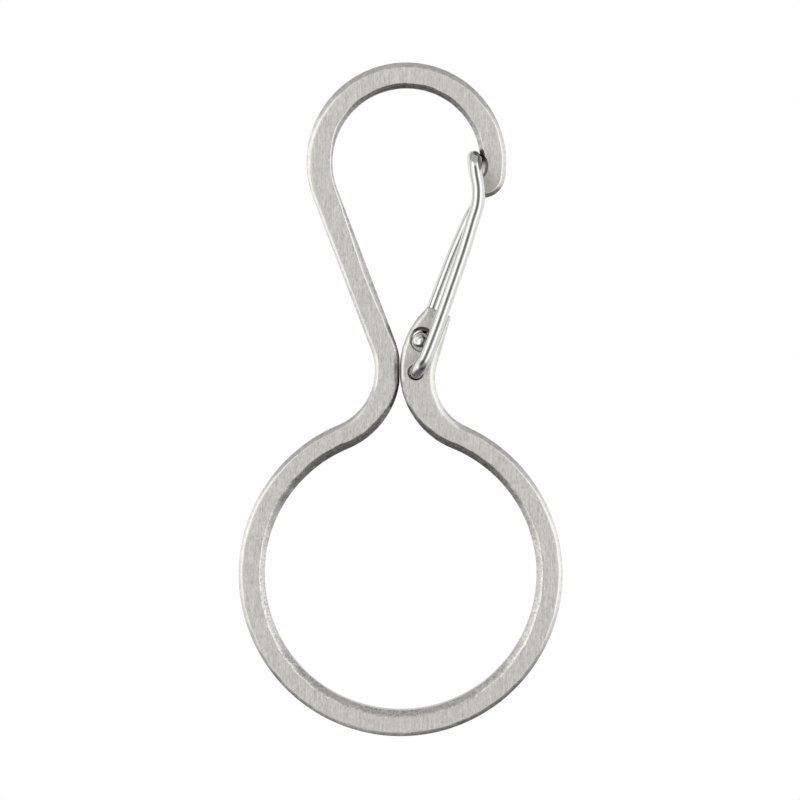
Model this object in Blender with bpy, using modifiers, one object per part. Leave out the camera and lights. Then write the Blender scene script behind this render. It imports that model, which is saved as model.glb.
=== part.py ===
"""Key ring with a hook and a wire gate.

One flat steel bar makes the whole frame. From the nose it runs over the hook's
arch, down the straight arm to the left neck, round the ring, and back up the
right neck into a wider lobe that carries the gate. The two necks all but touch,
so keys are pushed through the slit between them.

The gate is one bent wire. Its front leg turns in the lower hole of the lobe, its
rear leg in the upper hole, and the two legs join at the nose, in the notch. The
holes are offset, so opening the gate twists the wire and that shuts it again.
The wire is in two pieces here, parted in the middle of the stretch that crosses
from front to back, because that is the stretch that twists.

The part hangs as it does in use: +Z is up, the front face looks along -Y, and
the origin is the point at the top of the hook's inside that takes the load.
"""

import math

import bmesh
import bpy
from mathutils import Vector

# Frame
THICKNESS = 0.0025
BAR_WIDTH = 0.0027
EDGE_RADIUS = 0.0005
RING_DIAMETER = 0.03424
HOOK_DIAMETER = 0.02102
ARM_LENGTH = 0.01703

# Necks: offsets are from the plane of the slit, and the rise is above the ring
HOOK_OFFSET = 0.00071
RING_OFFSET = 0.0001
SLIT_WIDTH = 0.0001
NECK_OVERLAP = 0.00008
NECK_RISE = 0.00449

# Lobe: its outer side's width is from the plane of the slit
LOBE_NECK_WIDTH = 0.00374
LOBE_NECK_RISE = 0.00363
LOBE_FLARE = math.radians(16.2)
LOBE_REACH = 0.0069
LOBE_END_LEAN = math.radians(24.0)

# Nose, from the hook's centre
NOSE_DROP = 0.00371
NOSE_TIP_RADIUS = 0.00235
NOSE_HEEL_RADIUS = 0.0007
NOTCH_DROP = 0.00039
NOTCH_HEIGHT = 0.0024
NOTCH_DEPTH = 0.00016
NOTCH_SCOOP_DEPTH = 0.00078
NOTCH_SCOOP_REACH = 0.0006

# Gate wire and its holes
WIRE_DIAMETER = 0.0014
BEND_RADIUS = 0.0012
LEG_CLEARANCE = 0.0002
SEAT_CLEARANCE = 0.00015
SEAT_ANGLE = math.radians(20.0)
TWIST_GAP = 0.0003
PIN_RECESS = 0.0003
PIN_DOME_LENGTH = 0.0004
PIVOT_OFFSET = 0.00172
PIVOT_DROP = 0.00024
PIVOT_CLEARANCE = 0.00015
PIVOT_CHAMFER = 0.00005
LOOSE_HOLE_SHIFT = 0.00062
LOOSE_HOLE_RISE = 0.00349
LOOSE_HOLE_CLEARANCE = 0.0003
LOOSE_HOLE_CHAMFER = 0.00015
LOOSE_PIN_SHIFT = 0.00025
LOOSE_PIN_LEAN = math.radians(256.0)

# Head that the wire's rear end is peened into, and the counterbore that it lies in
HEAD_DIAMETER = 0.00204
HEAD_RECESS = 0.0001
HEAD_DOME_LENGTH = 0.0003
HEAD_RIM_LENGTH = 0.00012
HEAD_SLOPE_LENGTH = 0.00006
COUNTERBORE_CLEARANCE = 0.00028
COUNTERBORE_DEPTH = 0.00075

# Shape of each leg, as shares of the way from its pin to the nose: how far along,
# and how far out towards the gate's outer side
FRONT_LEG_SHARES = (
    (0.07, 0.021),
    (0.20, 0.037),
    (0.34, 0.049),
    (0.57, 0.066),
    (0.72, 0.071),
    (0.80, 0.072),
    (0.87, 0.056),
    (0.93, 0.029),
)
REAR_LEG_SHARES = (
    (0.08, 0.007),
    (0.22, 0.018),
    (0.43, 0.037),
    (0.57, 0.054),
    (0.70, 0.073),
    (0.78, 0.090),
    (0.86, 0.070),
    (0.93, 0.031),
)

# Fineness of the facets, and the distance that cutters run past a face
ARC_STEP = math.radians(4.0)
FLAT_ANGLE = math.radians(0.4)
RIM_ANGLE = math.radians(60.0)
SHADING_ANGLE = math.radians(40.0)
EDGE_SEGMENTS = 3
LEG_STEPS = 3
BEND_STEPS = 5
DOME_STEPS = 3
WIRE_RESOLUTION = 4
HOLE_STEPS = 32
OVERRUN = 0.0005
WELD = 0.000005

# Materials
STEEL = (0.56, 0.56, 0.54, 1.0)
STEEL_ROUGHNESS = 0.38
WIRE_STEEL = (0.64, 0.64, 0.63, 1.0)
WIRE_ROUGHNESS = 0.16

RING_RADIUS = RING_DIAMETER / 2
RING_INSIDE = RING_RADIUS - BAR_WIDTH
HOOK_RADIUS = HOOK_DIAMETER / 2
HOOK_INSIDE = HOOK_RADIUS - BAR_WIDTH
WIRE_RADIUS = WIRE_DIAMETER / 2
HEAD_RADIUS = HEAD_DIAMETER / 2
HALF_THICKNESS = THICKNESS / 2
SLIT_X = -HOOK_OFFSET


def radius_beside_ring(reach, height):
    """Radius of a curve that runs into the ring's outside.

    The curve's point nearest the slit is this far across and up from the ring's centre.
    """
    return (reach**2 + height**2 - RING_RADIUS**2) / (2 * (RING_RADIUS - reach))


# Centres, in the frame's own plane. The neck hangs from the hook by the straight arm,
# which touches both of them on opposite sides, and the ring hangs from the neck.
HOOK_CENTRE = Vector((0, -HOOK_INSIDE))
NECK_WIDTH = BAR_WIDTH - NECK_OVERLAP
NECK_HEIGHT = RING_RADIUS + NECK_RISE
NECK_RADIUS = radius_beside_ring(NECK_WIDTH + RING_OFFSET, NECK_HEIGHT)
NECK_X = SLIT_X - NECK_WIDTH - NECK_RADIUS
HOOK_RISE = math.sqrt(ARM_LENGTH**2 + (HOOK_RADIUS + NECK_RADIUS) ** 2 - NECK_X**2)
NECK = Vector((NECK_X, HOOK_CENTRE.y - HOOK_RISE))
RING_CENTRE = Vector((SLIT_X + RING_OFFSET, NECK.y - NECK_HEIGHT))
PIVOT = Vector((SLIT_X + PIVOT_OFFSET, NECK.y - PIVOT_DROP))
LOOSE_HOLE = PIVOT + Vector((LOOSE_HOLE_SHIFT, LOOSE_HOLE_RISE))


def heading(angle):
    """Unit vector at this angle from +X, in the frame's own plane."""
    return Vector((math.cos(angle), math.sin(angle)))


def angle_of(vector):
    return math.atan2(vector.y, vector.x)


def arc(centre, radius, start, end):
    """Points along an arc from start to end, both ends included."""
    steps = max(2, math.ceil(abs(end - start) / ARC_STEP))
    return [centre + radius * heading(start + (end - start) * i / steps) for i in range(steps + 1)]


def meet(point, direction, other_point, other_direction):
    """Where two lines cross."""
    gap = other_point - point
    travel = gap.cross(other_direction) / direction.cross(other_direction)
    return point + travel * direction


def frame_outline():
    """The frame's outline, anticlockwise from the nose's tip."""
    neck_to_ring = RING_CENTRE - NECK
    arm_side = angle_of(NECK - HOOK_CENTRE) - math.atan2(ARM_LENGTH, HOOK_RADIUS + NECK_RADIUS) + math.tau

    # The lobe's outer side starts with a curve like the neck's.
    lobe_neck_height = RING_RADIUS + LOBE_NECK_RISE
    lobe_neck_radius = radius_beside_ring(LOBE_NECK_WIDTH - RING_OFFSET, lobe_neck_height)
    lobe_neck = Vector((SLIT_X + LOBE_NECK_WIDTH + lobe_neck_radius, RING_CENTRE.y + lobe_neck_height))
    lobe_neck_to_ring = RING_CENTRE - lobe_neck

    # The right neck's inner side mirrors the left one's in the plane of the slit.
    lobe = Vector((2 * SLIT_X - NECK.x, NECK.y))
    ring_to_lobe = lobe - RING_CENTRE
    lobe_radius = ring_to_lobe.length - RING_INSIDE
    slit_reach = math.acos((lobe.x - SLIT_X - SLIT_WIDTH / 2) / lobe_radius)
    inner_neck_radius = NECK_RADIUS + BAR_WIDTH
    inner_slit_reach = math.acos((SLIT_X - SLIT_WIDTH / 2 - NECK.x) / inner_neck_radius)

    # The lobe ends in a straight cut across the line of the gate.
    end_normal = heading(math.pi / 2 - LOBE_END_LEAN)
    end_line = end_normal.orthogonal()
    end_point = PIVOT + LOBE_REACH * end_normal
    flare_start = math.pi - LOBE_FLARE
    outer_corner = meet(
        lobe_neck + lobe_neck_radius * heading(flare_start),
        heading(math.pi / 2 - LOBE_FLARE),
        end_point,
        end_line,
    )
    depth = (end_point - lobe).dot(end_normal)
    half_chord = math.sqrt(lobe_radius**2 - depth**2)
    inner_corner_angle = angle_of(depth * end_normal + half_chord * end_line)

    # The nose ends in a large round outside and a small one inside.
    nose_end = HOOK_CENTRE.y - NOSE_DROP
    tip_rise = nose_end + NOSE_TIP_RADIUS - HOOK_CENTRE.y
    tip = Vector((math.sqrt((HOOK_RADIUS - NOSE_TIP_RADIUS) ** 2 - tip_rise**2), nose_end + NOSE_TIP_RADIUS))
    heel_rise = nose_end + NOSE_HEEL_RADIUS - HOOK_CENTRE.y
    heel = Vector((math.sqrt((HOOK_INSIDE + NOSE_HEEL_RADIUS) ** 2 - heel_rise**2), nose_end + NOSE_HEEL_RADIUS))
    tip_angle = angle_of(tip - HOOK_CENTRE)
    heel_angle = angle_of(heel - HOOK_CENTRE)

    points = arc(tip, NOSE_TIP_RADIUS, -math.pi / 2, tip_angle)
    points += arc(HOOK_CENTRE, HOOK_RADIUS, tip_angle, arm_side)
    points += arc(NECK, NECK_RADIUS, arm_side - math.pi, angle_of(neck_to_ring))
    points += arc(RING_CENTRE, RING_RADIUS, angle_of(-neck_to_ring), angle_of(-lobe_neck_to_ring) + math.tau)
    points += arc(lobe_neck, lobe_neck_radius, angle_of(lobe_neck_to_ring) + math.tau, flare_start)
    points += [outer_corner]
    points += arc(lobe, lobe_radius, inner_corner_angle, math.pi - slit_reach)
    points += arc(lobe, lobe_radius, math.pi + slit_reach, angle_of(-ring_to_lobe) + math.tau)
    points += arc(RING_CENTRE, RING_INSIDE, angle_of(ring_to_lobe), angle_of(-neck_to_ring) - math.tau)
    points += arc(NECK, inner_neck_radius, angle_of(neck_to_ring), -inner_slit_reach)
    points += arc(NECK, inner_neck_radius, inner_slit_reach, arm_side - math.pi)
    points += arc(HOOK_CENTRE, HOOK_INSIDE, arm_side, heel_angle)
    points += arc(heel, NOSE_HEEL_RADIUS, heel_angle + math.pi, math.pi * 3 / 2)
    return without_repeats(points)


def without_repeats(points):
    """Neighbouring arcs share their end points, which an outline needs once."""
    kept = []
    for index, point in enumerate(points):
        if (point - points[index - 1]).length > WELD:
            kept.append(point)
    return kept


def notch_place():
    """The middle of the notch's mouth, on the hook's inside."""
    return HOOK_CENTRE + Vector((math.sqrt(HOOK_INSIDE**2 - NOTCH_DROP**2), -NOTCH_DROP))


def nose_joint():
    """Where the gate's wire crosses the frame, just clear of the notch's upper corner."""
    corner = notch_place() + Vector((0, NOTCH_HEIGHT / 2))
    return corner - (WIRE_RADIUS + SEAT_CLEARANCE) * heading(SEAT_ANGLE)


def loose_pin():
    """The rear leg's pin, pressed down in its loose hole."""
    return LOOSE_HOLE + LOOSE_PIN_SHIFT * heading(LOOSE_PIN_LEAN)


def in_space(point, y=0.0):
    """A point of the frame's plane as a point in space."""
    return Vector((point.x, y, point.y))


def steel(name, color, roughness):
    material = bpy.data.materials.new(name)
    material.use_nodes = True
    shader = material.node_tree.nodes["Principled BSDF"]
    shader.inputs["Base Color"].default_value = color
    shader.inputs["Metallic"].default_value = 1.0
    shader.inputs["Roughness"].default_value = roughness
    return material


def new_collection(name):
    collection = bpy.data.collections.new(name)
    bpy.context.scene.collection.children.link(collection)
    return collection


def flat_bar(name, outline, collection):
    """A plate of the frame's thickness with this outline and rounded edges."""
    curve = bpy.data.curves.new(name, "CURVE")
    curve.dimensions = "2D"
    curve.fill_mode = "BOTH"
    curve.extrude = HALF_THICKNESS
    spline = curve.splines.new("POLY")
    spline.points.add(len(outline) - 1)
    for spline_point, point in zip(spline.points, outline):
        spline_point.co = (point.x, point.y, 0, 1)
    spline.use_cyclic_u = True
    guide = bpy.data.objects.new(name + "_outline", curve)
    guide.rotation_euler.x = math.pi / 2
    collection.objects.link(guide)
    bpy.context.view_layer.update()
    mesh = bpy.data.meshes.new_from_object(guide.evaluated_get(bpy.context.evaluated_depsgraph_get()))
    bar = bpy.data.objects.new(name, mesh)
    bar.matrix_world = guide.matrix_world
    collection.objects.link(bar)
    bpy.data.objects.remove(guide)
    round_rims(mesh)
    return bar


def round_rims(mesh):
    """Weld the curve's caps on, make each face of the plate one polygon, round its rim."""
    work = bmesh.new()
    work.from_mesh(mesh)
    bmesh.ops.remove_doubles(work, verts=work.verts, dist=WELD)
    bmesh.ops.dissolve_limit(work, angle_limit=FLAT_ANGLE, verts=work.verts, edges=work.edges)
    rims = [edge for edge in work.edges if edge.calc_face_angle(0) > RIM_ANGLE and is_flat(edge)]
    bmesh.ops.bevel(
        work,
        geom=rims,
        offset=EDGE_RADIUS,
        offset_type="OFFSET",
        segments=EDGE_SEGMENTS,
        profile=0.5,
        affect="EDGES",
        clamp_overlap=False,
    )
    bmesh.ops.recalc_face_normals(work, faces=work.faces)
    work.to_mesh(mesh)
    work.free()
    mesh.shade_smooth()
    mesh.set_sharp_from_angle(angle=SHADING_ANGLE)


def is_flat(edge):
    """True for an edge that lies in one of the plate's two faces."""
    first, second = edge.verts
    return abs(first.co.z - second.co.z) < WELD


def cutter_object(name, mesh, collection):
    cutter = bpy.data.objects.new(name, mesh)
    cutter.hide_render = True
    cutter.display_type = "WIRE"
    collection.objects.link(cutter)
    return cutter


def turned_cutter(name, place, profile, collection):
    """A cutter turned about an axis along Y; the profile's heights run to the front."""
    mesh = bpy.data.meshes.new(name)
    mesh.from_pydata([(x, 0, z) for x, z in profile], [(i, i + 1) for i in range(len(profile) - 1)], [])
    cutter = cutter_object(name, mesh, collection)
    cutter.location = in_space(place)
    cutter.rotation_euler.x = math.pi / 2
    screw = cutter.modifiers.new("turn", "SCREW")
    screw.steps = HOLE_STEPS
    screw.render_steps = HOLE_STEPS
    screw.use_merge_vertices = True
    screw.merge_threshold = WELD
    return cutter


def hole_cutter(name, place, radius, chamfer, collection):
    """A cutter for a hole through the bar, chamfered at both faces."""
    mouth = radius + chamfer + OVERRUN
    outside = HALF_THICKNESS + OVERRUN
    inside = HALF_THICKNESS - chamfer
    profile = [(0, outside), (mouth, outside), (radius, inside), (radius, -inside), (mouth, -outside), (0, -outside)]
    return turned_cutter(name, place, profile, collection)


def stepped_hole_cutter(name, place, radius, chamfer, collection):
    """A cutter for a hole with the head's counterbore at the front, chamfered at the back."""
    wide = HEAD_RADIUS + COUNTERBORE_CLEARANCE
    mouth = radius + chamfer + OVERRUN
    outside = HALF_THICKNESS + OVERRUN
    floor = HALF_THICKNESS - COUNTERBORE_DEPTH
    profile = [(0, outside), (wide, outside), (wide, floor), (radius, floor)]
    profile += [(radius, chamfer - HALF_THICKNESS), (mouth, -outside), (0, -outside)]
    return turned_cutter(name, place, profile, collection)


def notch_cutters(collection):
    """An oval cut through the nose's inner side, and a scoop at each face."""
    half_height = NOTCH_HEIGHT / 2
    work = bmesh.new()
    bmesh.ops.create_cone(
        work,
        cap_ends=True,
        segments=HOLE_STEPS,
        radius1=1.0,
        radius2=1.0,
        depth=THICKNESS + 2 * OVERRUN,
    )
    bmesh.ops.scale(work, verts=work.verts, vec=(NOTCH_DEPTH, half_height, 1.0))
    mesh = bpy.data.meshes.new("notch_cutter")
    work.to_mesh(mesh)
    work.free()
    slot = cutter_object("notch_cutter", mesh, collection)
    slot.location = in_space(notch_place())
    slot.rotation_euler.x = math.pi / 2

    work = bmesh.new()
    bmesh.ops.create_uvsphere(work, u_segments=HOLE_STEPS, v_segments=HOLE_STEPS // 2, radius=1.0)
    bmesh.ops.scale(work, verts=work.verts, vec=(NOTCH_SCOOP_DEPTH, NOTCH_SCOOP_REACH, half_height))
    scoop_mesh = bpy.data.meshes.new("scoop_cutter")
    work.to_mesh(scoop_mesh)
    work.free()
    scoops = []
    for side in (-1, 1):
        scoop = cutter_object("front_scoop_cutter" if side < 0 else "rear_scoop_cutter", scoop_mesh, collection)
        scoop.location = in_space(notch_place(), side * HALF_THICKNESS)
        scoops.append(scoop)
    return [slot] + scoops


def cut(target, cutters):
    for cutter in cutters:
        boolean = target.modifiers.new(cutter.name, "BOOLEAN")
        boolean.operation = "DIFFERENCE"
        boolean.solver = "EXACT"
        boolean.object = cutter


def make_frame(parts, cutters):
    frame = flat_bar("frame", frame_outline(), parts)
    frame.data.materials.append(steel("frame_steel", STEEL, STEEL_ROUGHNESS))
    pivot_hole = hole_cutter("pivot_cutter", PIVOT, WIRE_RADIUS + PIVOT_CLEARANCE, PIVOT_CHAMFER, cutters)
    loose_hole = stepped_hole_cutter(
        "loose_hole_cutter", LOOSE_HOLE, WIRE_RADIUS + LOOSE_HOLE_CLEARANCE, LOOSE_HOLE_CHAMFER, cutters
    )
    cut(frame, [pivot_hole, loose_hole] + notch_cutters(cutters))
    return frame


def smooth_through(points, steps):
    """A smooth line through all but the first and last of these points."""
    line = []
    for before, start, end, after in zip(points, points[1:], points[2:], points[3:]):
        for i in range(steps):
            t = i / steps
            line.append(
                0.5
                * (
                    2 * start
                    + (end - before) * t
                    + (2 * before - 5 * start + 4 * end - after) * t**2
                    + (3 * start - before - 3 * end + after) * t**3
                )
            )
    line.append(points[-2])
    return line


def leg_line(foot, top, shares):
    """Points of a leg's centre line between its two bends, in the frame's plane."""
    along = top - foot
    outward = Vector((along.y, -along.x))
    route = [foot] + [foot + a * along + b * outward for a, b in shares] + [top]
    return smooth_through(route, LEG_STEPS)


def bend(corner, before, after):
    """Points that round a corner of the wire's centre line."""
    arrive = (corner - before).normalized()
    leave = (after - corner).normalized()
    turn = arrive.angle(leave)
    setback = BEND_RADIUS * math.tan(turn / 2)
    centre = corner - setback * arrive + BEND_RADIUS * (leave - arrive.dot(leave) * arrive).normalized()
    spoke = corner - setback * arrive - centre
    points = []
    for i in range(BEND_STEPS + 1):
        swing = turn * i / BEND_STEPS
        points.append(centre + spoke * math.cos(swing) + arrive * BEND_RADIUS * math.sin(swing))
    return points


def dome(tip, base, swell):
    """Points from a domed tip to its base, each with its share of the wire's radius."""
    points = []
    for i in range(DOME_STEPS):
        rise = math.pi / 2 * (DOME_STEPS - i) / (DOME_STEPS + 1)
        points.append((tip.lerp(base, 1 - math.sin(rise)), swell * math.cos(rise)))
    return points + [(base, swell)]


def pin_end(foot):
    """The front leg's plain pin, from its tip, which is at the back."""
    tip_y = HALF_THICKNESS - PIN_RECESS
    return dome(in_space(foot, tip_y), in_space(foot, tip_y - PIN_DOME_LENGTH), 1.0)


def headed_pin_end(foot):
    """The rear leg's pin, from the top of its head, which is at the front."""
    swell = HEAD_RADIUS / WIRE_RADIUS
    tip_y = HEAD_RECESS - HALF_THICKNESS
    base_y = tip_y + HEAD_DOME_LENGTH
    rim_y = base_y + HEAD_RIM_LENGTH
    points = dome(in_space(foot, tip_y), in_space(foot, base_y), swell)
    return points + [(in_space(foot, rim_y), swell), (in_space(foot, rim_y + HEAD_SLOPE_LENGTH), 1.0)]


def wire_line(end, foot, top, shares, side):
    """The centre line of half the gate's wire, from its pin's end to the cross stretch.

    side is -1 for the front leg, 1 for the rear one.
    """
    leg_y = side * (HALF_THICKNESS + LEG_CLEARANCE + WIRE_RADIUS)
    leg = [in_space(point, leg_y) for point in leg_line(foot, top, shares)]
    cross_end = in_space(top, side * TWIST_GAP / 2)
    line = bend(in_space(foot, leg_y), in_space(foot), leg[0])
    line += leg
    line += bend(in_space(top, leg_y), leg[-1], cross_end)
    line += [cross_end]
    return end + [(point, 1.0) for point in line]


def make_leg(name, line, origin, parts, material):
    """A wire along this line; its object's origin is on its joint's axis."""
    curve = bpy.data.curves.new(name, "CURVE")
    curve.dimensions = "3D"
    curve.bevel_depth = WIRE_RADIUS
    curve.bevel_resolution = WIRE_RESOLUTION
    curve.use_fill_caps = True
    spline = curve.splines.new("POLY")
    spline.points.add(len(line) - 1)
    for spline_point, (point, thinning) in zip(spline.points, line):
        spline_point.co = (*(point - origin), 1)
        spline_point.radius = thinning
    spline.use_smooth = True
    curve.materials.append(material)
    leg = bpy.data.objects.new(name, curve)
    leg.location = origin
    parts.objects.link(leg)
    return leg


def make_gate(parts):
    material = steel("gate_wire", WIRE_STEEL, WIRE_ROUGHNESS)
    top = nose_joint()
    pivot_origin = in_space(PIVOT)
    twist_origin = in_space(top)
    front_line = wire_line(pin_end(PIVOT), PIVOT, top, FRONT_LEG_SHARES, -1)
    rear_line = wire_line(headed_pin_end(loose_pin()), loose_pin(), top, REAR_LEG_SHARES, 1)
    front = make_leg("gate_front_leg", front_line, pivot_origin, parts, material)
    rear = make_leg("gate_rear_leg", rear_line, twist_origin, parts, material)
    rear.parent = front
    rear.location = twist_origin - pivot_origin
    return front, rear


def main():
    for leftover in list(bpy.data.objects):
        bpy.data.objects.remove(leftover)
    parts = new_collection("key_ring")
    cutters = new_collection("cutters")
    make_frame(parts, cutters)
    make_gate(parts)
    print("pivot", tuple(in_space(PIVOT)))
    print("twist", tuple(in_space(nose_joint())))
    print("loose hole", tuple(in_space(LOOSE_HOLE)), "pin", tuple(in_space(loose_pin())))


main()
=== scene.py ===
"""The looks of the hook key ring: a brushed steel frame and a polished wire gate.

The frame and the wire are made again here, finer than in the CAD model and in the
same places, from the same sizes. Only where the real pieces touch, or all but touch,
are the gaps narrower than in the CAD model. Lengths are in millimetres until a mesh
is made, and a point in the frame's plane is given by its X and Z.
"""

import math
from collections import namedtuple

import bmesh
import bpy
import numpy as np
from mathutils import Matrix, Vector, noise


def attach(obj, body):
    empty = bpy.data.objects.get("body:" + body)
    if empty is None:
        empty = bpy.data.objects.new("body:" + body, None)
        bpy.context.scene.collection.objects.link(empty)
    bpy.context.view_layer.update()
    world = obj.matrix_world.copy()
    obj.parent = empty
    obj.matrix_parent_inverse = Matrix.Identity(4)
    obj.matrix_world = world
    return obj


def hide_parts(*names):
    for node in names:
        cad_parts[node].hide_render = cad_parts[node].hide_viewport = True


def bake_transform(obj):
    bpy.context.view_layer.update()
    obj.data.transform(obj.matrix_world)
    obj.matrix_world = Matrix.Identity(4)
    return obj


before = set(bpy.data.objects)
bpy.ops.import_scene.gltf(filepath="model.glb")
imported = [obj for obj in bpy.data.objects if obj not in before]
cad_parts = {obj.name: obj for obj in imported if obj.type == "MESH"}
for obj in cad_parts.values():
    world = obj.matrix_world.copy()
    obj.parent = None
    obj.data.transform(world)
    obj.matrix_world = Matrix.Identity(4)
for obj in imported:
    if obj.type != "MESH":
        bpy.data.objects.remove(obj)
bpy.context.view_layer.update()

MM = 0.001

# The CAD model's sizes, of which only the slit's width, the seat's clearance and the
# legs' shares differ a little from it

# Frame
THICKNESS = 2.5
BAR_WIDTH = 2.7
RING_DIAMETER = 34.24
HOOK_DIAMETER = 21.02
ARM_LENGTH = 17.03

# Necks: offsets are from the plane of the slit, and the rise is above the ring
HOOK_OFFSET = 0.71
RING_OFFSET = 0.1
SLIT_WIDTH = 0.02
NECK_OVERLAP = 0.08
NECK_RISE = 4.49

# Lobe: its outer side's width is from the plane of the slit
LOBE_NECK_WIDTH = 3.74
LOBE_NECK_RISE = 3.63
LOBE_FLARE = math.radians(16.2)
LOBE_REACH = 6.9
LOBE_END_LEAN = math.radians(24.0)

# Nose, from the hook's centre
NOSE_DROP = 3.71
NOSE_TIP_RADIUS = 2.35
NOSE_HEEL_RADIUS = 0.7
NOTCH_DROP = 0.39
NOTCH_HEIGHT = 2.4
NOTCH_DEPTH = 0.16
NOTCH_SCOOP_DEPTH = 0.78
NOTCH_SCOOP_REACH = 0.6

# Gate wire and its holes
WIRE_DIAMETER = 1.4
BEND_RADIUS = 1.2
LEG_CLEARANCE = 0.2
SEAT_CLEARANCE = 0.05
SEAT_ANGLE = math.radians(20.0)
PIN_RECESS = 0.3
PIN_DOME_LENGTH = 0.4
PIVOT_OFFSET = 1.72
PIVOT_DROP = 0.24
LOOSE_HOLE_SHIFT = 0.62
LOOSE_HOLE_RISE = 3.49
LOOSE_HOLE_CLEARANCE = 0.3
LOOSE_HOLE_CHAMFER = 0.15
LOOSE_PIN_SHIFT = 0.25
LOOSE_PIN_LEAN = math.radians(256.0)

# Head that the wire's rear end is peened into, and the counterbore that it lies in
HEAD_DIAMETER = 2.04
HEAD_RECESS = 0.1
HEAD_RIM_LENGTH = 0.12
HEAD_SLOPE_LENGTH = 0.06
COUNTERBORE_CLEARANCE = 0.28
COUNTERBORE_DEPTH = 0.75

# Shape of each leg, as shares of the way from its pin to the nose: how far along,
# and how far out towards the gate's outer side
FRONT_LEG_SHARES = (
    (0.07, 0.0207),
    (0.20, 0.0362),
    (0.34, 0.0476),
    (0.57, 0.0637),
    (0.72, 0.0687),
    (0.80, 0.0704),
    (0.87, 0.0553),
    (0.93, 0.0290),
)
REAR_LEG_SHARES = (
    (0.08, 0.0066),
    (0.22, 0.0170),
    (0.43, 0.0350),
    (0.57, 0.0513),
    (0.70, 0.0704),
    (0.78, 0.0882),
    (0.86, 0.0692),
    (0.93, 0.0310),
)

# Sizes of this model alone: the gap round the front pin at the front of its hole, its
# chamfer, how far in front of the bar's middle the hole narrows, the gap from there on,
# the counterbore's chamfer, and how far from the bar's middle the wire's cross stretch
# passes into the legs
PIVOT_GAP = 0.10
PIVOT_CHAMFER = 0.04
PIVOT_STEP = 0.35
SNUG_GAP = 0.02
COUNTERBORE_CHAMFER = 0.04
CROSS_REACH = 0.8

# The peened head: depths below its top, and its radius at each
HEAD_PROFILE = (
    (0.00, 0.03),
    (0.005, 0.16),
    (0.03, 0.30),
    (0.08, 0.42),
    (0.15, 0.50),
    (0.185, 0.56),
    (0.195, 0.68),
    (0.20, 0.80),
    (0.215, 0.91),
    (0.25, 0.99),
    (0.30, 1.02),
)

# Finish of the bar's edges. Each is how far the worn bevel reaches in from that side,
# the slope in degrees that it ends with there, and how soon it gets that steep
NOSE_EDGE = Vector((0.52, 50.0, 2.0))
NECK_OUTER_EDGE = Vector((0.50, 47.0, 1.4))
ARM_FOOT_EDGE = Vector((0.42, 54.0, 2.5))
ARM_EDGE = Vector((0.72, 55.0, 3.2))
LOBE_EDGE = Vector((0.56, 42.0, 1.6))
LOBE_NECK_EDGE = Vector((0.80, 41.0, 1.1))
CORNER_EDGE = Vector((0.20, 45.0, 2.0))

# The same along the round sides, where it changes with the angle in degrees
NECK_INNER_EDGE = (
    (-60, 0.82, 58, 3.0),
    (-33, 0.74, 58, 3.5),
    (-24, 0.58, 54, 3.5),
    (-10, 0.44, 54, 2.5),
)
LOBE_INNER_EDGE = (
    (180, 0.50, 42, 1.6),
    (192, 0.46, 43, 1.6),
    (204, 0.40, 47, 2.0),
    (213, 0.46, 53, 2.5),
    (240, 0.74, 55, 2.8),
)
HOOK_OUTER_EDGE = (
    (-20, 0.52, 50, 2.0),
    (20, 0.52, 50, 2.4),
    (40, 0.60, 54, 3.2),
    (60, 0.60, 50, 2.6),
    (100, 0.62, 46, 3.0),
    (120, 0.64, 46, 3.0),
    (140, 0.70, 44, 2.4),
    (160, 0.70, 41, 1.3),
    (180, 0.66, 32, 1.0),
    (200, 0.48, 33, 1.1),
)
HOOK_INNER_EDGE = (
    (-10, 0.54, 62, 3.5),
    (20, 0.54, 60, 5.0),
    (40, 0.56, 53, 3.6),
    (60, 0.56, 54, 3.2),
    (80, 0.54, 61, 3.2),
    (100, 0.60, 61, 3.0),
    (120, 0.57, 53, 3.0),
    (140, 0.58, 51, 3.0),
    (160, 0.44, 49, 4.0),
    (175, 0.28, 48, 2.0),
)
RING_OUTER_EDGE = (
    (135, 0.52, 48, 3.0),
    (150, 0.58, 40, 1.3),
    (180, 0.54, 38, 1.2),
    (195, 0.52, 49, 1.6),
    (210, 0.48, 48, 1.8),
    (225, 0.46, 31, 1.6),
    (240, 0.50, 20, 3.0),
    (255, 0.52, 17, 4.0),
    (270, 0.52, 18, 4.0),
    (285, 0.54, 22, 3.5),
    (300, 0.52, 27, 3.0),
    (315, 0.50, 37, 3.0),
    (330, 0.48, 40, 3.0),
    (345, 0.52, 45, 1.8),
    (360, 0.60, 36, 1.2),
    (375, 0.60, 37, 1.2),
    (390, 0.54, 46, 2.0),
    (405, 0.50, 50, 5.0),
)
RING_INNER_EDGE = (
    (-225, 0.87, 59, 2.8),
    (-210, 0.81, 53, 3.0),
    (-195, 0.64, 46, 4.5),
    (-180, 0.62, 38, 3.0),
    (-165, 0.68, 38, 2.4),
    (-150, 0.78, 49, 2.8),
    (-135, 0.80, 48, 4.0),
    (-120, 0.82, 44, 3.0),
    (-105, 0.86, 40, 2.2),
    (-90, 0.84, 38, 2.2),
    (-60, 0.84, 41, 3.0),
    (-45, 0.82, 42, 3.2),
    (-30, 0.84, 42, 2.5),
    (-15, 0.80, 42, 2.2),
    (0, 0.72, 44, 2.8),
    (15, 0.74, 43, 4.0),
    (30, 0.70, 41, 3.0),
    (45, 0.78, 54, 2.8),
)

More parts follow.
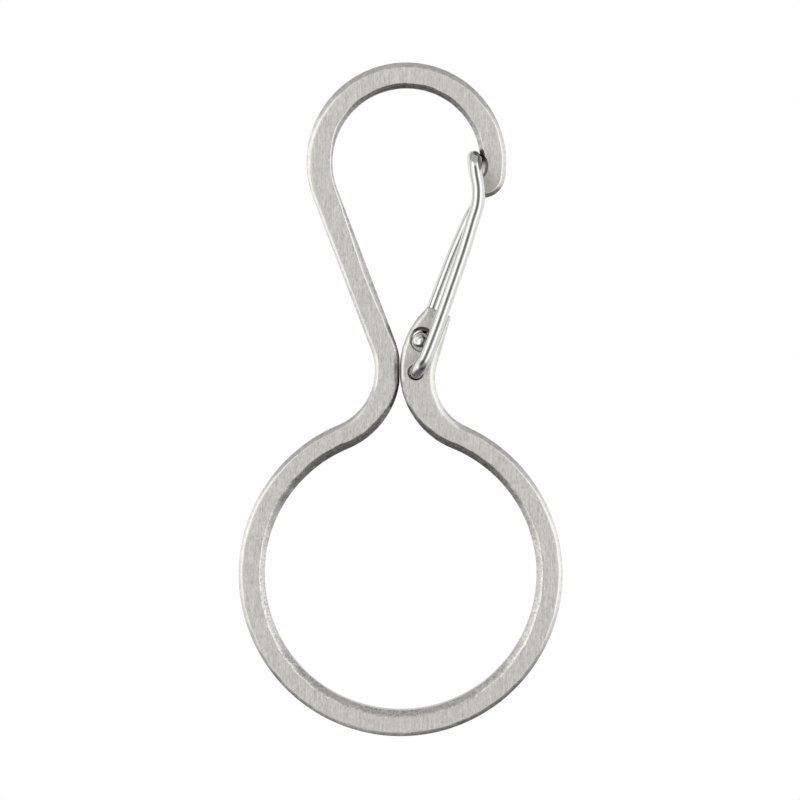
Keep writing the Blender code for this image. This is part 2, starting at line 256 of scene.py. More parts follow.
# How the edges run. The arm's finish is given at one place, as a share of the way along
# it. All finishes are smoothed this often, and the bevels' reach then wanders by a share
# of itself, in waves of this length. The front's and the back's waves are layers of one
# noise, this far to either side of its middle. The reach stays under the limit, and grows
# away from a corner by no more than the growth per length. A bevel starts at a slight
# slope on the flat face and ends in a rounded rim, and the lobe's corners are rounded too
ARM_EDGE_PLACE = 0.42
EDGE_SMOOTHING = 12
EDGE_WANDER = 0.16
EDGE_WAVE = 1.6
EDGE_WAVE_LAYER = 7.0
EDGE_LIMIT = 1.0
EDGE_GROWTH = 0.6
EDGE_START = math.radians(4.0)
RIM_RADIUS = 0.08
CORNER_RADIUS = 0.24

# The notch's height inside the bar, as a share of its height at the faces
NOTCH_WAIST = 0.94

# How bright the room looks in reflections: in front of the part and beside it, behind it
# as the white background, in the small spot behind the camera, above and below. Each
# pair is where one fades into the next, as a direction's Y or, for the last two, its Z
ROOM_FRONT = 1.08
ROOM_BACK = 1.00
ROOM_CAMERA = 0.20
ROOM_ABOVE = 0.52
ROOM_BELOW = 0.15
BACK_FADE = (-0.35, 0.15)
CAMERA_FADE = (-0.88, -0.985)
ABOVE_FADE = (0.30, 0.75)
BELOW_FADE = (-0.26, -0.78)

# The camera: the picture's width in picture elements, the size of one at the part, how
# far away the camera is and what it aims at, from the slit and the ring's centre, in
# picture elements, how far down it looks, and its sensor's width
PICTURE_WIDTH = 800
PIXEL = 0.1058
DISTANCE = 3600
AIM_RIGHT = 0.35
AIM_UP = 174.4
LOOK_DOWN = math.radians(2.0)
SENSOR_WIDTH = 36.0

# The lamps and the floor, in metres and watts. The floor fades out between two shares
# of its reach
LAMP_SIDE = 0.40
LAMP_FRONT = 0.40
LAMP_HEIGHT = 0.05
LAMP_TARGET = (0, 0, -0.03)
LAMP_WIDTH = 0.22
LAMP_LENGTH = 0.7
LAMP_POWER = 0.28
FLOOR_REACH = 1.0
FLOOR_HEIGHT = -0.30
FLOOR_FADE = (0.35, 0.95)
FLOOR_TONE = 0.9
FLOOR_ROUGHNESS = 0.9

# Tones and colours of the frame's steel and of the wire, from black at 0 to white at 1
FACE_DARK = 0.58
FACE_LIGHT = 0.92
FACE_CLOUD = 0.72
# Darker, warmer tone of the flat faces round the nose
NOSE_TINT_COLOUR = (0.50, 0.47, 0.42, 1.0)
EDGE_DARK = 0.62
EDGE_LIGHT = 0.79
SPECKLE_TONE = 0.36
# Painted shade on the bevels at the ring's throat
THROAT_SHADE_TONE = 0.26
# A painted highlight along the bevels' border with the flat face
BORDER_HIGHLIGHT_TONE = 0.82
# Painted shade on the side and along the rim
SIDE_SHADE_TONE = 0.36
RIM_SHADE_TONE = 0.18
# Painted light on the counterbore's wall, and painted shade in the holes, in the notch's scoop
# and at the slit
WALL_LIGHT_TONE = 0.98
HOLLOW_SHADE_TONE = 0.10
SLIT_SHADE_COLOUR = (0.12, 0.085, 0.065, 1.0)
WIRE_DARK = 0.66
WIRE_LIGHT = 0.74
# Painted shade on the wire where it lies against the nose, and at its front leg's foot
NOSE_SHADE_TONE = 0.06
FOOT_SHADE_TONE = 0.12
FLANGE_TONE = 0.5
# A painted highlight on the head's nub, and painted shade in a crescent round it
NUB_HIGHLIGHT_TONE = 0.98
NUB_SHADE_TONE = 0.06

# Relief of both steels, as the depth in millimetres and the strength of their bump. The
# head is peened between two depths in the bar, each given as where it fades, with blows
# this deep, and its nub leans this much along X, Y and Z
FRAME_RELIEF_DEPTH = 0.02
FRAME_RELIEF_STRENGTH = 0.5
WIRE_RELIEF_DEPTH = 0.01
WIRE_RELIEF_STRENGTH = 0.25
HEAD_BACK_FADE = (-0.3, -0.5)
HEAD_FRONT_FADE = (-1.3, -1.2)
BLOW_RELIEF = 60.0
NUB_LEAN = (50.0, 0.0, -24.0)

# A patch of a material: its place in the frame's plane, its reach along X and Z, and how
# far it fades out around that, as a share of the reach
Patch = namedtuple("Patch", "place reach fade")

# Fineness of the meshes, the angle from which an edge is sharp, the distance that cutters
# run past a face, and the distance under which two points count as one
STEP = 0.22
FINE_ANGLE = math.radians(3.0)
EDGE_RINGS = 12
RIM_RINGS = 4
HOLE_STEPS = 96
MOUTH_STEPS = 5
NOTCH_LEVELS = 25
LEG_STEPS = 8
BEND_STEPS = 14
CROSS_STEPS = 8
DOME_STEPS = 9
WIRE_STEPS = 40
SHARP_ANGLE = math.radians(50)
OVERRUN = 0.5
WELD = 0.004

RING_RADIUS = RING_DIAMETER / 2
RING_INSIDE = RING_RADIUS - BAR_WIDTH
HOOK_RADIUS = HOOK_DIAMETER / 2
HOOK_INSIDE = HOOK_RADIUS - BAR_WIDTH
WIRE_RADIUS = WIRE_DIAMETER / 2
HEAD_RADIUS = HEAD_DIAMETER / 2
HALF_THICKNESS = THICKNESS / 2
LOOSE_HOLE_RADIUS = WIRE_RADIUS + LOOSE_HOLE_CLEARANCE
COUNTERBORE_RADIUS = HEAD_RADIUS + COUNTERBORE_CLEARANCE
SLIT_X = -HOOK_OFFSET


def radius_beside_ring(reach, height):
    """The radius of a neck whose circle touches the ring's, from where its centre is."""
    return (reach**2 + height**2 - RING_RADIUS**2) / (2 * (RING_RADIUS - reach))


# Centres. The neck hangs from the hook by the straight arm, which touches both of them
# on opposite sides, and the ring hangs from the neck
HOOK_CENTRE = Vector((0, -HOOK_INSIDE))
NECK_WIDTH = BAR_WIDTH - NECK_OVERLAP
NECK_HEIGHT = RING_RADIUS + NECK_RISE
NECK_RADIUS = radius_beside_ring(NECK_WIDTH + RING_OFFSET, NECK_HEIGHT)
NECK_X = SLIT_X - NECK_WIDTH - NECK_RADIUS
HOOK_RISE = math.sqrt(ARM_LENGTH**2 + (HOOK_RADIUS + NECK_RADIUS) ** 2 - NECK_X**2)
NECK = Vector((NECK_X, HOOK_CENTRE.y - HOOK_RISE))
RING_CENTRE = Vector((SLIT_X + RING_OFFSET, NECK.y - NECK_HEIGHT))
PIVOT = Vector((SLIT_X + PIVOT_OFFSET, NECK.y - PIVOT_DROP))
LOOSE_HOLE = PIVOT + Vector((LOOSE_HOLE_SHIFT, LOOSE_HOLE_RISE))


def heading(angle):
    return Vector((math.cos(angle), math.sin(angle)))


def angle_of(vector):
    return math.atan2(vector.y, vector.x)


def in_space(point, y=0.0):
    return Vector((point.x, y, point.y))


def beside_hook(radius, height):
    """The point at this height, right of the hook's centre and this far from it."""
    rise = height - HOOK_CENTRE.y
    return Vector((math.sqrt(radius**2 - rise**2), height))


LOOSE_PIN = LOOSE_HOLE + LOOSE_PIN_SHIFT * heading(LOOSE_PIN_LEAN)
NOTCH = HOOK_CENTRE + Vector((math.sqrt(HOOK_INSIDE**2 - NOTCH_DROP**2), -NOTCH_DROP))
NOTCH_TOP = NOTCH + Vector((0, NOTCH_HEIGHT / 2))
NOSE_JOINT = NOTCH_TOP - (WIRE_RADIUS + SEAT_CLEARANCE) * heading(SEAT_ANGLE)


def edge_at(edge, angle):
    """An edge's finish, which a table gives at some angles."""
    if isinstance(edge, Vector):
        return edge
    angles, *columns = zip(*edge)
    return Vector([np.interp(math.degrees(angle), angles, column) for column in columns])


def arc(centre, radius, start, end, edge):
    """Points along an arc, each with the finish of the edge there."""
    turn = abs(end - start)
    steps = max(2, math.ceil(turn / FINE_ANGLE), math.ceil(turn * radius / STEP))
    angles = [start + (end - start) * i / steps for i in range(steps + 1)]
    return [(centre + radius * heading(angle), edge_at(edge, angle)) for angle in angles]


def corner_arc(corner, arrive, leave, edge):
    """A small arc in place of a sharp corner, and how far from the corner it starts."""
    turn = arrive.angle(leave)
    setback = CORNER_RADIUS * math.tan(turn / 2)
    start = angle_of(arrive) - math.pi / 2
    centre = corner - setback * arrive + CORNER_RADIUS * arrive.orthogonal()
    return arc(centre, CORNER_RADIUS, start, start + turn, edge), setback


def meet(point, direction, other_point, other_direction):
    """Where two lines cross."""
    gap = other_point - point
    travel = gap.cross(other_direction) / direction.cross(other_direction)
    return point + travel * direction


def frame_outline():
    """The bar's outline, anticlockwise from the nose's tip, as evenly spaced points."""
    quarter = math.pi / 2
    neck_to_ring = RING_CENTRE - NECK
    arm_lean = math.atan2(ARM_LENGTH, HOOK_RADIUS + NECK_RADIUS)
    arm_side = angle_of(NECK - HOOK_CENTRE) - arm_lean + math.tau
    inner_neck_radius = NECK_RADIUS + BAR_WIDTH
    inner_slit_reach = math.acos((SLIT_X - SLIT_WIDTH / 2 - NECK.x) / inner_neck_radius)

    lobe_neck_height = RING_RADIUS + LOBE_NECK_RISE
    lobe_neck_radius = radius_beside_ring(LOBE_NECK_WIDTH - RING_OFFSET, lobe_neck_height)
    lobe_neck_x = SLIT_X + LOBE_NECK_WIDTH + lobe_neck_radius
    lobe_neck = Vector((lobe_neck_x, RING_CENTRE.y + lobe_neck_height))
    lobe_neck_to_ring = RING_CENTRE - lobe_neck
    lobe = Vector((2 * SLIT_X - NECK.x, NECK.y))
    ring_to_lobe = lobe - RING_CENTRE
    lobe_radius = ring_to_lobe.length - RING_INSIDE
    slit_reach = math.acos((lobe.x - SLIT_X - SLIT_WIDTH / 2) / lobe_radius)

    end_normal = heading(quarter - LOBE_END_LEAN)
    end_line = end_normal.orthogonal()
    end_point = PIVOT + LOBE_REACH * end_normal
    flare_start = math.pi - LOBE_FLARE
    flare_point = lobe_neck + lobe_neck_radius * heading(flare_start)
    flare_line = heading(quarter - LOBE_FLARE)
    outer_corner = meet(flare_point, flare_line, end_point, end_line)
    depth = (end_point - lobe).dot(end_normal)
    half_chord = math.sqrt(lobe_radius**2 - depth**2)
    inner_corner = lobe + depth * end_normal + half_chord * end_line
    inner_angle = angle_of(inner_corner - lobe)
    outer_round = corner_arc(outer_corner, flare_line, end_line, CORNER_EDGE)[0]
    inner_leave = heading(inner_angle + quarter)
    inner_round, setback = corner_arc(inner_corner, end_line, inner_leave, CORNER_EDGE)
    inner_angle += setback / lobe_radius

    nose_end = HOOK_CENTRE.y - NOSE_DROP
    tip = beside_hook(HOOK_RADIUS - NOSE_TIP_RADIUS, nose_end + NOSE_TIP_RADIUS)
    heel = beside_hook(HOOK_INSIDE + NOSE_HEEL_RADIUS, nose_end + NOSE_HEEL_RADIUS)
    tip_angle = angle_of(tip - HOOK_CENTRE)
    heel_angle = angle_of(heel - HOOK_CENTRE)

    points = arc(tip, NOSE_TIP_RADIUS, -quarter, tip_angle, NOSE_EDGE)
    points += arc(HOOK_CENTRE, HOOK_RADIUS, tip_angle, arm_side, HOOK_OUTER_EDGE)
    start, end = arm_side - math.pi, angle_of(neck_to_ring)
    points += arc(NECK, NECK_RADIUS, start, end, NECK_OUTER_EDGE)
    start, end = angle_of(-neck_to_ring), angle_of(-lobe_neck_to_ring) + math.tau
    points += arc(RING_CENTRE, RING_RADIUS, start, end, RING_OUTER_EDGE)
    start = angle_of(lobe_neck_to_ring) + math.tau
    points += arc(lobe_neck, lobe_neck_radius, start, flare_start, LOBE_NECK_EDGE)
    points += outer_round + inner_round
    points += arc(lobe, lobe_radius, inner_angle, math.pi - slit_reach, LOBE_EDGE)
    start, end = math.pi + slit_reach, angle_of(-ring_to_lobe) + math.tau
    points += arc(lobe, lobe_radius, start, end, LOBE_INNER_EDGE)
    start, end = angle_of(ring_to_lobe), angle_of(-neck_to_ring) - math.tau
    points += arc(RING_CENTRE, RING_INSIDE, start, end, RING_INNER_EDGE)
    start, end = angle_of(neck_to_ring), -inner_slit_reach
    points += arc(NECK, inner_neck_radius, start, end, NECK_INNER_EDGE)
    start, end = inner_slit_reach, arm_side - math.pi
    arm = arc(NECK, inner_neck_radius, start, end, ARM_FOOT_EDGE)
    hook = arc(HOOK_CENTRE, HOOK_INSIDE, arm_side, heel_angle, HOOK_INNER_EDGE)
    arm_place = arm[-1][0].lerp(hook[0][0], ARM_EDGE_PLACE)
    points += arm + [(arm_place, ARM_EDGE)] + hook
    start, end = heel_angle + math.pi, 3 * quarter
    points += arc(heel, NOSE_HEEL_RADIUS, start, end, NOSE_EDGE)
    return evenly(points)


def evenly(points):
    """Drops repeated points and fills in long straight stretches."""
    filled = []
    for index, (point, edge) in enumerate(points):
        before, edge_before = points[index - 1]
        gap = (point - before).length
        if gap < WELD:
            continue
        count = max(1, round(gap / STEP))
        for i in range(1, count + 1):
            share = i / count
            filled.append((before.lerp(point, share), edge_before.lerp(edge, share)))
    return filled


def edge_rows(reach, slope, quickness):
    """Insets and drops of an edge, from the flat face out and round the rim to the wall."""
    rim = RIM_RADIUS * reach / reach.max()
    stop = rim * (1 - np.sin(slope))
    rows = [(reach, np.zeros(len(reach)))]
    for i in range(EDGE_RINGS):
        share = (i + 0.5) / EDGE_RINGS
        tilt = slope - (slope - EDGE_START) * (1 - share) ** quickness
        inset, drop = rows[-1]
        step = (reach - stop) / EDGE_RINGS
        rows.append((inset - step, drop + step * np.tan(tilt)))
    drop = rows[-1][1]
    for i in range(1, RIM_RINGS + 1):
        tilt = slope + (math.pi / 2 - slope) * i / RIM_RINGS
        rows.append((rim * (1 - np.sin(tilt)), drop + rim * (np.cos(slope) - np.cos(tilt))))
    return rows


def closed_mesh(name, rings):
    """A closed shape through these rings of points, with a flat end on both sides."""
    work = bmesh.new()
    loops = [[work.verts.new(Vector(point) * MM) for point in ring] for ring in rings]
    count = len(loops[0])
    for lower, upper in zip(loops, loops[1:]):
        for i in range(count):
            j = (i + 1) % count
            work.faces.new((lower[i], lower[j], upper[j], upper[i]))
    work.faces.new(reversed(loops[0]))
    work.faces.new(loops[-1])
    bmesh.ops.recalc_face_normals(work, faces=work.faces)
    mesh = bpy.data.meshes.new(name)
    work.to_mesh(mesh)
    work.free()
    return mesh


def bar_mesh():
    """The bar: two flat faces and a rounded rim whose reach wanders a little along it."""
    outline = frame_outline()
    place = np.array([point for point, edge in outline])
    finish = np.array([edge for point, edge in outline])
    count = len(place)
    forward = np.roll(place, -1, axis=0) - place
    spacing = np.linalg.norm(forward, axis=1)
    forward /= spacing[:, None]
    limit = np.where(finish[:, 0] > CORNER_EDGE.x, EDGE_LIMIT, CORNER_EDGE.x)
    for _ in range(2):
        for i in range(count):
            limit[i] = min(limit[i], limit[i - 1] + spacing[i - 1] * EDGE_GROWTH)
        for i in range(count - 1, -1, -1):
            limit[i - 1] = min(limit[i - 1], limit[i] + spacing[i - 1] * EDGE_GROWTH)
    for _ in range(EDGE_SMOOTHING):
        finish = (np.roll(finish, 1, axis=0) + finish + np.roll(finish, -1, axis=0)) / 3
    reach, slope, quickness = finish.T
    slope = np.radians(slope)
    inward = np.stack((-forward[:, 1], forward[:, 0]), axis=1)
    before = np.roll(inward, 1, axis=0)
    mitre = inward + before
    mitre /= (1 + (inward * before).sum(axis=1))[:, None]

    rings = []
    for side in (-1, 1):
        layer = EDGE_WAVE_LAYER * side
        wander = [noise.noise(Vector((x, z, layer)) / EDGE_WAVE) for x, z in place]
        radius = np.minimum(reach * (1 + EDGE_WANDER * np.array(wander)), limit)
        rows = edge_rows(radius, slope, quickness)
        for inset, drop in rows if side < 0 else reversed(rows):
            x, z = (place + mitre * inset[:, None]).T
            rings.append(np.stack((x, side * (HALF_THICKNESS - drop), z), axis=1))
    return closed_mesh("frame_bar", rings)


def link(name, mesh):
    obj = bpy.data.objects.new(name, mesh)
    bpy.context.scene.collection.objects.link(obj)
    return obj


def hole_mouth(radius, chamfer):
    """The softly rounded mouth of a hole: radii and heights, from the outside in."""
    mouth = [
        (radius + chamfer + OVERRUN, HALF_THICKNESS + OVERRUN),
        (radius + chamfer + WELD, HALF_THICKNESS + WELD),
    ]
    for i in range(1, MOUTH_STEPS + 1):
        turn = math.pi / 2 * i / MOUTH_STEPS
        height = HALF_THICKNESS - chamfer * (1 - math.cos(turn))
        mouth.append((radius + chamfer * (1 - math.sin(turn)), height))
    return mouth


def hole_cutter(name, place, front_mouth, back_mouth):
    """A hole through the bar, from its radii and heights on both sides of the middle."""
    profile = [(radius, -height) for radius, height in front_mouth]
    profile += reversed(back_mouth)
    turns = [math.tau * i / HOLE_STEPS for i in range(HOLE_STEPS)]
    rings = []
    for radius, y in profile:
        rings.append([in_space(place + radius * heading(turn), y) for turn in turns])
    return link(name, closed_mesh(name, rings))


def notch_cutter():
    """An oval channel through the nose, flared into a scoop at each face."""
    rings = []
    for level in range(NOTCH_LEVELS):
        y = (HALF_THICKNESS + OVERRUN) * (2 * level / (NOTCH_LEVELS - 1) - 1)
        below_face = HALF_THICKNESS - min(abs(y), HALF_THICKNESS)
        flare = math.sqrt(max(0.0, 1 - (below_face / NOTCH_SCOOP_REACH) ** 2))
        depth = NOTCH_DEPTH + (NOTCH_SCOOP_DEPTH - NOTCH_DEPTH) * flare
        height = NOTCH_HEIGHT / 2 * (NOTCH_WAIST + (1 - NOTCH_WAIST) * flare)
        ring = []
        for i in range(HOLE_STEPS):
            turn = math.tau * i / HOLE_STEPS
            x, z = NOTCH.x + depth * math.cos(turn), NOTCH.y + height * math.sin(turn)
            ring.append((x, y, z))
        rings.append(ring)
    return link("notch_cutter", closed_mesh("notch_cutter", rings))


def apply_modifiers(obj):
    """Replaces an object's mesh by the one that its modifiers make of it."""
    evaluated = obj.evaluated_get(bpy.context.evaluated_depsgraph_get())
    mesh = bpy.data.meshes.new_from_object(evaluated)
    obj.modifiers.clear()
    old = obj.data
    obj.data = mesh
    bpy.data.meshes.remove(old)


def make_bar():
    """The frame, with its two holes and the notch cut out of the bar."""
    bar = link("frame_bar", bar_mesh())
    pivot_radius = WIRE_RADIUS + PIVOT_GAP
    snug_radius = WIRE_RADIUS + SNUG_GAP
    pivot_front = hole_mouth(pivot_radius, PIVOT_CHAMFER)
    pivot_front += [(pivot_radius, PIVOT_STEP), (snug_radius, PIVOT_STEP)]
    pivot_back = hole_mouth(snug_radius, PIVOT_CHAMFER)
    floor = HALF_THICKNESS - COUNTERBORE_DEPTH
    loose_front = hole_mouth(COUNTERBORE_RADIUS, COUNTERBORE_CHAMFER)
    loose_front += [(COUNTERBORE_RADIUS, floor), (LOOSE_HOLE_RADIUS, floor)]
    loose_back = hole_mouth(LOOSE_HOLE_RADIUS, LOOSE_HOLE_CHAMFER)
    cutters = [
        hole_cutter("pivot_cutter", PIVOT, pivot_front, pivot_back),
        hole_cutter("loose_hole_cutter", LOOSE_HOLE, loose_front, loose_back),
        notch_cutter(),
    ]
    for cutter in cutters:
        boolean = bar.modifiers.new(cutter.name, "BOOLEAN")
        boolean.operation = "DIFFERENCE"
        boolean.solver = "MANIFOLD"
        boolean.object = cutter
    apply_modifiers(bar)
    for cutter in cutters:
        bpy.data.objects.remove(cutter)
    bar.data.shade_smooth()
    bar.data.set_sharp_from_angle(angle=SHARP_ANGLE)
    weighted = bar.modifiers.new("weighted", "WEIGHTED_NORMAL")
    weighted.keep_sharp = True
    weighted.weight = 100
    return bar


def smooth_through(points):
    """A smooth line through all but the first and last of these points."""
    line = []
    for before, start, end, after in zip(points, points[1:], points[2:], points[3:]):
        squared = 2 * before - 5 * start + 4 * end - after
        cubed = 3 * start - before - 3 * end + after
        for i in range(LEG_STEPS):
            t = i / LEG_STEPS
            double = 2 * start + (end - before) * t + squared * t**2 + cubed * t**3
            line.append(0.5 * double)
    line.append(points[-2])
    return line


def bend(corner, before, after):
    """Points that round a corner of the wire's centre line."""
    arrive = (corner - before).normalized()
    leave = (after - corner).normalized()
    turn = arrive.angle(leave)
    start = corner - BEND_RADIUS * math.tan(turn / 2) * arrive
    sideways = (leave - arrive.dot(leave) * arrive).normalized()
    centre = start + BEND_RADIUS * sideways
    spoke = start - centre
    points = []
    for i in range(BEND_STEPS + 1):
        swing = turn * i / BEND_STEPS
        points.append(centre + spoke * math.cos(swing) + arrive * BEND_RADIUS * math.sin(swing))
    return points


def pin_end(foot):
    """The front leg's plain, domed pin, from its tip, which is at the back.

    Each point of the wire's centre line comes with its share of the wire's radius.
    """
    tip = in_space(foot, HALF_THICKNESS - PIN_RECESS)
    base = in_space(foot, HALF_THICKNESS - PIN_RECESS - PIN_DOME_LENGTH)
    points = []
    for i in range(DOME_STEPS):
        rise = math.pi / 2 * (DOME_STEPS - i) / (DOME_STEPS + 0.5)
        points.append((tip.lerp(base, 1 - math.sin(rise)), math.cos(rise)))
    return points + [(base, 1.0)]


def headed_pin_end(foot):
    """The rear leg's pin, from the top of its head, which is at the front."""
    top_y = HEAD_RECESS - HALF_THICKNESS
    points = []
    for depth, radius in HEAD_PROFILE:
        points.append((in_space(foot, top_y + depth), radius / WIRE_RADIUS))
    rim_y = top_y + HEAD_PROFILE[-1][0] + HEAD_RIM_LENGTH
    points.append((in_space(foot, rim_y), HEAD_RADIUS / WIRE_RADIUS))
    return points + [(in_space(foot, rim_y + HEAD_SLOPE_LENGTH), 1.0)]


def half_wire(end, foot, top, shares, side):
    """One leg of the wire's centre line, from its pin's end to the cross stretch."""
    leg_y = side * (HALF_THICKNESS + LEG_CLEARANCE + WIRE_RADIUS)
    along = top - foot
    outward = Vector((along.y, -along.x))
    route = [foot] + [foot + a * along + b * outward for a, b in shares] + [top]
    leg = [in_space(point, leg_y) for point in smooth_through(route)]
    line = bend(in_space(foot, leg_y), in_space(foot), leg[0])
    line += leg
    line += bend(in_space(top, leg_y), leg[-1], in_space(top))
    line += [in_space(top, side * CROSS_REACH)]
    return end + [(point, 1.0) for point in line]


def tube(name, rings):
    """A closed tube through these rings of points."""
    mesh = bpy.data.meshes.new(name)
    count = len(rings[0])
    last = count * (len(rings) - 1)
    faces = [tuple(reversed(range(count))), tuple(range(last, last + count))]
    for first in range(0, last, count):
        for i in range(count):
            j = (i + 1) % count
            faces.append((first + i, first + j, first + count + j, first + count + i))
    mesh.from_pydata([point * MM for ring in rings for point in ring], [], faces)
    mesh.shade_smooth()
    for cap in mesh.polygons[:2]:
        cap.use_smooth = False
    return link(name, mesh)


def make_wire():
    """The gate's wire: its two legs with their pins, and the cross stretch between them."""
    front = half_wire(pin_end(PIVOT), PIVOT, NOSE_JOINT, FRONT_LEG_SHARES, -1)
    rear = half_wire(headed_pin_end(LOOSE_PIN), LOOSE_PIN, NOSE_JOINT, REAR_LEG_SHARES, 1)
    front_end, rear_end = front[-1][0], rear[-1][0]
    cross = [(front_end.lerp(rear_end, i / CROSS_STEPS), 1.0) for i in range(1, CROSS_STEPS)]
    line = front + cross + rear[::-1]
    places = [point for point, thinning in line]
    turns = [math.tau * i / WIRE_STEPS for i in range(WIRE_STEPS)]
    rings = []
    spoke = None
    for index, (point, thinning) in enumerate(line):
        ahead = places[min(index + 1, len(places) - 1)]
        behind = places[max(index - 1, 0)]
        tangent = (ahead - behind).normalized()
        spoke = spoke or tangent.orthogonal()
        spoke = (spoke - spoke.dot(tangent) * tangent).normalized()
        other = tangent.cross(spoke)
        radius = WIRE_RADIUS * thinning
        round_point = [math.cos(turn) * spoke + math.sin(turn) * other for turn in turns]
        rings.append([point + radius * arm for arm in round_point])
    rear_start = len(front) + len(cross)
    return (
        tube("gate_wire_front", rings[: len(front)]),
        tube("gate_wire_cross", rings[len(front) - 1 : rear_start + 1]),
        tube("gate_wire_rear", rings[rear_start:]),
    )


class Nodes:
    """Short calls for building one material's or the world's node tree."""

    def __init__(self, tree):
        self.tree = tree

    def add(self, kind, settings=(), inputs=()):
        node = self.tree.nodes.new(kind)
        for name, value in dict(settings).items():
            setattr(node, name, value)
        for name, value in dict(inputs).items():
            self.feed(node.inputs[name], value)
        return node

    def feed(self, socket, value):
        if isinstance(value, bpy.types.NodeSocket):
            self.tree.links.new(value, socket)
        else:
            socket.default_value = value

    def math(self, operation, first, second=0.0):
        node = self.add("ShaderNodeMath", {"operation": operation})
        self.feed(node.inputs[0], first)
        self.feed(node.inputs[1], second)
        return node.outputs[0]

    def times(self, first, second):
        return self.math("MULTIPLY", first, second)

    def plus(self, first, second):
        return self.math("ADD", first, second)

    def without(self, mask, other):
        """A mask where the other mask isn't."""
        return self.times(mask, self.math("SUBTRACT", 1.0, other))

    def vector_math(self, operation, first, second=None):
        node = self.add("ShaderNodeVectorMath", {"operation": operation})
        self.feed(node.inputs[0], first)
        if second is not None:
            self.feed(node.inputs[1], second)
        return node

    def remap(self, value, low, high, to_low=0.0, to_high=1.0, smooth=False):
        kind = "SMOOTHSTEP" if smooth else "LINEAR"
        node = self.add("ShaderNodeMapRange", {"interpolation_type": kind})
        for socket, number in zip(node.inputs, (value, low, high, to_low, to_high)):
            self.feed(socket, number)
        return node.outputs[0]

    def blend(self, factor, first, second):
        node = self.add("ShaderNodeMix", {"data_type": "FLOAT"})
        self.feed(node.inputs[0], factor)
        self.feed(node.inputs[2], first)
        self.feed(node.inputs[3], second)
        return node.outputs[0]

    def mix(self, factor, first, second):
        node = self.add("ShaderNodeMix", {"data_type": "RGBA"})
        self.feed(node.inputs[0], factor)
        self.feed(node.inputs[6], first)
        self.feed(node.inputs[7], second)
        return node.outputs[2]

    def noise(self, vector, scale, detail=2.0, roughness=0.5):
        """Noise whose frequency, in cycles a millimetre, is given along X, Y and Z."""
        scale = [cycles / MM for cycles in scale]
        stretch = self.add("ShaderNodeMapping", inputs={"Vector": vector, "Scale": scale})
        inputs = {
            "Vector": stretch.outputs[0],
            "Scale": 1.0,
            "Detail": detail,
            "Roughness": roughness,
        }
        return self.add("ShaderNodeTexNoise", inputs=inputs).outputs["Fac"]

    def bump(self, shader, relief, depth, strength):
        inputs = {"Strength": strength, "Distance": depth * MM, "Height": relief}
        node = self.add("ShaderNodeBump", inputs=inputs)
        self.feed(shader.inputs["Normal"], node.outputs[0])

    def near(self, spot, patch):
        """1 inside a patch, which runs through the part along Y, fading to 0 around it."""
        width, height = patch.reach
        offset = self.vector_math("SUBTRACT", spot, in_space(patch.place) * MM)
        scale = (1 / width / MM, 0.0, 1 / height / MM)
        away = self.vector_math("MULTIPLY", offset.outputs[0], scale)
        length = self.vector_math("LENGTH", away.outputs[0]).outputs["Value"]
        return self.remap(length, 1.0, 1.0 + patch.fade, 1.0, 0.0, smooth=True)


def grey(value, warmth=0.0):
    return (value * (1 + warmth), value, value * (1 - 2 * warmth), 1.0)


def steel_grey(value):
    """The frame's grey, which is a little warmer than neutral."""
    return (value, value * 0.988, value * 0.947, 1.0)


def disc(place, radius, fade):
    return Patch(place, (radius, radius), fade)


# Patches of the frame's steel
# Where the flat faces are darker and warmer, round the nose
NOSE_TINT_PATCH = Patch(HOOK_CENTRE + Vector((HOOK_RADIUS - 1.3, -3.2)), (1.3, 0.9), 2.4)
EYE_PATCH = disc(RING_CENTRE, RING_INSIDE + 0.9, 0.02)
# Painted shade on the bevels at the ring's throat
THROAT_SHADE_PATCH = Patch(Vector((SLIT_X, NECK.y - 4.6)), (3.4, 3.2), 0.25)
# Painted shade at the slit, in the pivot hole's mouth, at the counterbore's top and in the
# notch's scoop, left out near the head and round the scoop's glint
SLIT_SHADE_PATCH = Patch(Vector((SLIT_X - 0.20, NECK.y - 0.20)), (0.22, 1.3), 1.3)
PIVOT_SHADE_RADIUS = WIRE_RADIUS + PIVOT_GAP + PIVOT_CHAMFER
PIVOT_PATCH = disc(PIVOT + Vector((-0.04, 0.05)), PIVOT_SHADE_RADIUS, 0.05)
COUNTERBORE_PATCH = disc(LOOSE_HOLE, COUNTERBORE_RADIUS + COUNTERBORE_CHAMFER, 0.05)
COUNTERBORE_TOP_PATCH = Patch(LOOSE_HOLE + Vector((0.25, 1.25)), (1.10, 0.80), 0.35)
HEAD_UNSHADED_PATCH = disc(LOOSE_PIN, HEAD_RADIUS + 0.12, 0.06)
SCOOP_PATCH = Patch(NOTCH, (NOTCH_SCOOP_DEPTH, NOTCH_HEIGHT / 2), 0.08)
SCOOP_UNSHADED_PATCH = Patch(NOTCH + Vector((0.12, 0.12)), (0.34, 0.90), 0.25)

